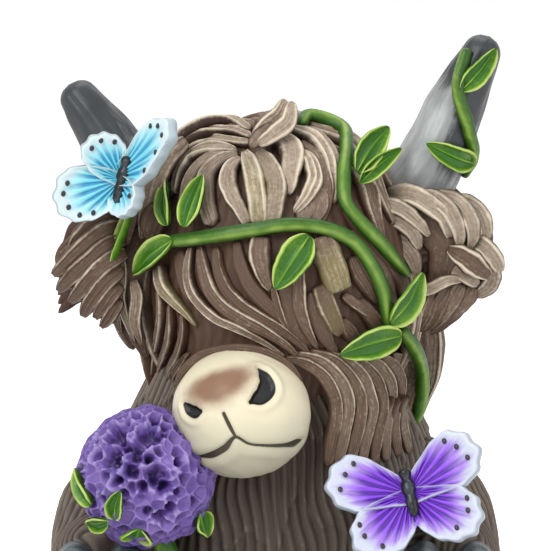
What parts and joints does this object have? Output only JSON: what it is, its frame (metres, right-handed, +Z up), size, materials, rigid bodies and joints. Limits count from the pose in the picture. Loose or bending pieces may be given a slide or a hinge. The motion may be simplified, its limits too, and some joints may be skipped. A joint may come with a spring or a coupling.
{
  "type": "cow figurine",
  "caption": "Seated shaggy young cow figurine with horns, a flower cluster, two butterflies and leafy stems, cast in resin and painted.",
  "frame": {"origin": "middle of the felt's underside, on the surface that the figurine stands on", "axes": "+Z up, the cow faces -Y, +X is the cow's own left"},
  "size_m": [0.1002, 0.0976, 0.1612],
  "materials": {
    "felt": "matte",
    "plug": "matte",
    "hair": "satin",
    "fur": "satin",
    "muzzle": "satin",
    "horn": "satin",
    "hoof": "satin",
    "stem": "satin",
    "leaf": "satin",
    "blue_wing": "satin",
    "purple_wing": "satin",
    "butterfly_body": "gloss",
    "flower": "satin"
  },
  "bodies": {
    "root": {"felt_base": "felt", "pour_plug": "plug", "body_casting": "fur", "head_casting": "hair", "muzzle": "muzzle", "forelock": "hair", "crown_curl": "hair", "back_mane": "hair", "left_cheek_locks": "hair", "right_cheek_locks": "hair", "left_ear": "hair", "right_ear": "hair", "left_horn": "horn", "right_horn": "horn", "left_foreleg": "fur", "right_foreleg": "fur", "left_fore_hoof": "hoof", "right_fore_hoof": "hoof", "left_hind_leg": "fur", "right_hind_leg": "fur", "left_hind_hoof": "hoof", "right_hind_hoof": "hoof", "tail": "fur", "tail_tuft": "hair", "blue_butterfly_wings": "blue_wing", "blue_butterfly_body": "butterfly_body", "purple_butterfly_wings": "purple_wing", "purple_butterfly_body": "butterfly_body", "flower_cluster": "flower", "flower_stem": "stem", "brow_vine": "stem", "crown_vine": "stem", "cheek_vine": "stem", "horn_vine": "stem", "brow_leaf_low": "leaf", "brow_leaf_upper": "leaf", "brow_leaf_side": "leaf", "temple_leaf": "leaf", "forehead_leaf": "leaf", "cheek_leaf_upper": "leaf", "cheek_leaf_lower": "leaf", "crown_leaf_upper": "leaf", "crown_leaf_lower": "leaf", "horn_leaf_low": "leaf", "horn_leaf_tip": "leaf", "bouquet_leaf_upright": "leaf", "bouquet_leaf_outer": "leaf", "bouquet_leaf_round": "leaf", "bouquet_leaf_edge": "leaf", "bouquet_leaf_inner": "leaf"}
  },
  "joints": []
}
